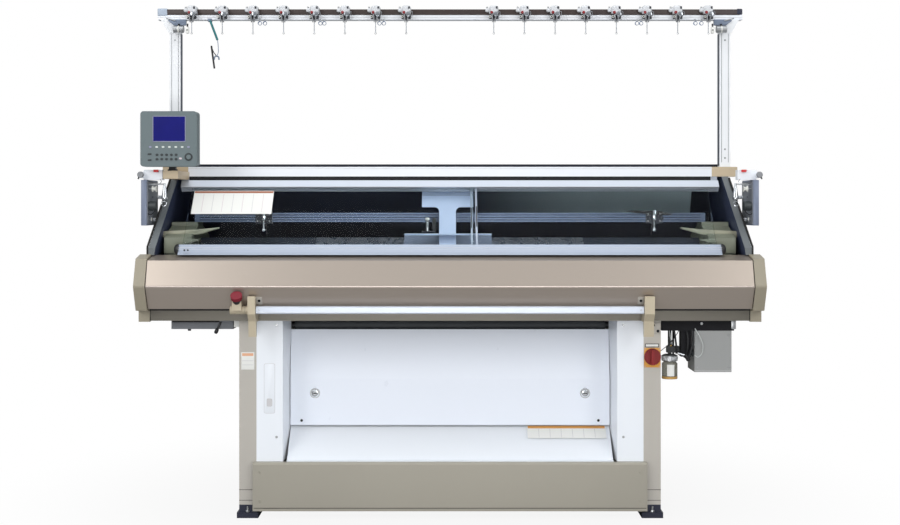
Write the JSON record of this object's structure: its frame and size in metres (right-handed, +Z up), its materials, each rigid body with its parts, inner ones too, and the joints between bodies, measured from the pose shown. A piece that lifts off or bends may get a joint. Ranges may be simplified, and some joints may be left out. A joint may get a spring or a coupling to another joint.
{
  "type": "flat knitting machine",
  "caption": "Floor-standing flat knitting machine with sliding windows, sliding carriage, control panel, start bar and overhead yarn stand.",
  "frame": {"origin": "on the floor, in the middle of the machine's box", "axes": "+X along the needle beds to the operator's right, +Y to the back, +Z up"},
  "size_m": [2.732, 0.8903, 2.2778],
  "materials": {
    "aluminium": "anodised aluminium",
    "bed_steel": "ground steel",
    "beige_paint": "metallic champagne paint",
    "belt_rubber": "toothed rubber belt",
    "black_plastic": "black moulded plastic",
    "blue_grey_paint": "pale blue-grey paint",
    "bottle_glass": "amber oil bottle",
    "cast_frame": "machined and painted iron",
    "clear_pane": "clear acrylic pane",
    "dark_paint": "dark enamel",
    "grey_paint": "grey enamel",
    "leg_paint": "satin grey-beige paint",
    "moulded_end": "moulded olive-beige plastic",
    "panel_plastic": "grey-green moulded plastic",
    "red_plastic": "red moulded plastic",
    "roller_rubber": "grey rubber roller",
    "screen_glass": "blue display window",
    "white_paint": "satin white paint"
  },
  "bodies": {
    "frame": {"cheeks": "moulded_end", "chute_panel": "white_paint", "control_box": "grey_paint", "drive_belt": "belt_rubber", "drive_motor": "dark_paint", "end_castings": "moulded_end", "equipment_hanger": "dark_paint", "fabric_tray": "white_paint", "front_beam": "cast_frame", "front_cover": "beige_paint", "front_needle_bed": "bed_steel", "front_panels": "white_paint", "front_skirt": "beige_paint", "left_bar_bracket": "moulded_end", "left_leg": "leg_paint", "left_side_cover": "moulded_end", "levelling_feet": "dark_paint", "lower_window_rail": "aluminium", "oil_bottle": "bottle_glass", "oil_head": "bed_steel", "panel_arm": "moulded_end", "plinth": "beige_paint", "rail_caps": "moulded_end", "rear_beam": "cast_frame", "rear_cover": "beige_paint", "rear_needle_bed": "bed_steel", "rear_panel": "leg_paint", "right_bar_bracket": "moulded_end", "right_leg": "leg_paint", "right_side_cover": "moulded_end", "side_tension_plates": "grey_paint", "side_tray": "grey_paint", "stand_bar": "aluminium", "stand_posts": "aluminium", "tension_bodies": "white_paint", "top_rail": "aluminium", "upper_window_rail": "aluminium", "yarn_rails": "bed_steel"},
    "carriage": {"front_carriage": "dark_paint", "rear_carriage": "dark_paint", "carriage_bow": "blue_grey_paint"},
    "drive_pulley_body": {"drive_pulley": "aluminium"},
    "idler_pulley_body": {"idler_pulley": "aluminium"},
    "left_window_body": {"left_window": "clear_pane"},
    "right_window_body": {"right_window": "clear_pane"},
    "left_carrier": {"left_yarn_carrier": "bed_steel"},
    "right_carrier": {"right_yarn_carrier": "bed_steel"},
    "front_roller": {"front_takedown_roller": "roller_rubber"},
    "rear_roller": {"rear_takedown_roller": "roller_rubber"},
    "start_bar_body": {"start_bar": "aluminium"},
    "stop_button_body": {"stop_button": "red_plastic"},
    "main_switch": {"main_switch_knob": "red_plastic"},
    "panel_swivel": {"panel_neck": "black_plastic"},
    "panel_head": {"panel_case": "panel_plastic", "panel_screen": "screen_glass"},
    "left_lock": {"left_panel_lock": "aluminium"},
    "right_lock": {"right_panel_lock": "aluminium"},
    "left_arm": {"left_side_arm": "black_plastic"},
    "right_arm": {"right_side_arm": "black_plastic"},
    "unit_arms": {"tension_arms": "bed_steel"}
  },
  "joints": [
    {"name": "carriage_slide", "type": "slide", "parent": "frame", "child": "carriage", "axis": [1, 0, 0], "range_m": [-0.85, 0.85]},
    {"name": "drive_pulley_spin", "type": "hinge", "parent": "frame", "child": "drive_pulley_body", "pos_m": [1.2, 0.2, 1.12], "axis": [0, 1, 0], "continuous": true},
    {"name": "idler_pulley_spin", "type": "hinge", "parent": "frame", "child": "idler_pulley_body", "pos_m": [-1.2, 0.2, 1.12], "axis": [0, 1, 0], "continuous": true},
    {"name": "left_window_slide", "type": "slide", "parent": "frame", "child": "left_window_body", "axis": [1, 0, 0], "range_m": [0, 1.045]},
    {"name": "right_window_slide", "type": "slide", "parent": "frame", "child": "right_window_body", "axis": [1, 0, 0], "range_m": [-1.26, 0]},
    {"name": "left_carrier_slide", "type": "slide", "parent": "frame", "child": "left_carrier", "axis": [1, 0, 0], "range_m": [-0.24, 0.8]},
    {"name": "right_carrier_slide", "type": "slide", "parent": "frame", "child": "right_carrier", "axis": [1, 0, 0], "range_m": [-0.88, 0.165]},
    {"name": "front_roller_spin", "type": "hinge", "parent": "frame", "child": "front_roller", "pos_m": [0, -0.0253, 0.816], "axis": [1, 0, 0], "continuous": true},
    {"name": "rear_roller_spin", "type": "hinge", "parent": "frame", "child": "rear_roller", "pos_m": [0, 0.0253, 0.816], "axis": [1, 0, 0], "continuous": true},
    {"name": "start_bar_turn", "type": "hinge", "parent": "frame", "child": "start_bar_body", "pos_m": [0, -0.387, 0.915], "axis": [1, 0, 0], "range_deg": [-25, 25]},
    {"name": "stop_button_press", "type": "slide", "parent": "frame", "child": "stop_button_body", "axis": [0, 0.6428, -0.766], "range_m": [0, 0.005], "stiffness_N_per_m": 1500},
    {"name": "main_switch_turn", "type": "hinge", "parent": "frame", "child": "main_switch", "pos_m": [0.8825, -0.29, 0.703], "axis": [0, 1, 0], "range_deg": [0, 90]},
    {"name": "panel_swivel_turn", "type": "hinge", "parent": "frame", "child": "panel_swivel", "pos_m": [-1.224, -0.214, 1.52], "axis": [0, 0, 1], "range_deg": [-50, 50]},
    {"name": "panel_tilt", "type": "hinge", "parent": "panel_swivel", "child": "panel_head", "pos_m": [-1.224, -0.214, 1.56], "axis": [1, 0, 0], "range_deg": [-20, 5]},
    {"name": "left_lock_turn", "type": "hinge", "parent": "frame", "child": "left_lock", "pos_m": [-0.604, -0.14, 0.529], "axis": [0, 1, 0], "range_deg": [0, 90]},
    {"name": "right_lock_turn", "type": "hinge", "parent": "frame", "child": "right_lock", "pos_m": [0.604, -0.14, 0.529], "axis": [0, 1, 0], "range_deg": [0, 90]},
    {"name": "left_side_arm_swing", "type": "hinge", "parent": "frame", "child": "left_arm", "pos_m": [-1.33, -0.215, 1.361], "axis": [1, 0, 0], "range_deg": [-15, 15], "stiffness_Nm_per_rad": 0.5},
    {"name": "right_side_arm_swing", "type": "hinge", "parent": "frame", "child": "right_arm", "pos_m": [1.33, -0.215, 1.361], "axis": [1, 0, 0], "range_deg": [-15, 15], "stiffness_Nm_per_rad": 0.5},
    {"name": "tension_arms_swing", "type": "hinge", "parent": "frame", "child": "unit_arms", "pos_m": [0, -0.018, 2.218], "axis": [1, 0, 0], "range_deg": [-30, 15], "stiffness_Nm_per_rad": 0.3}
  ],
  "couplings": [
    {"joint": "drive_pulley_spin", "follows": "carriage_slide", "rad_per_m": 22.573},
    {"joint": "idler_pulley_spin", "follows": "carriage_slide", "rad_per_m": 22.573},
    {"joint": "rear_roller_spin", "follows": "front_roller_spin", "ratio": -1}
  ]
}
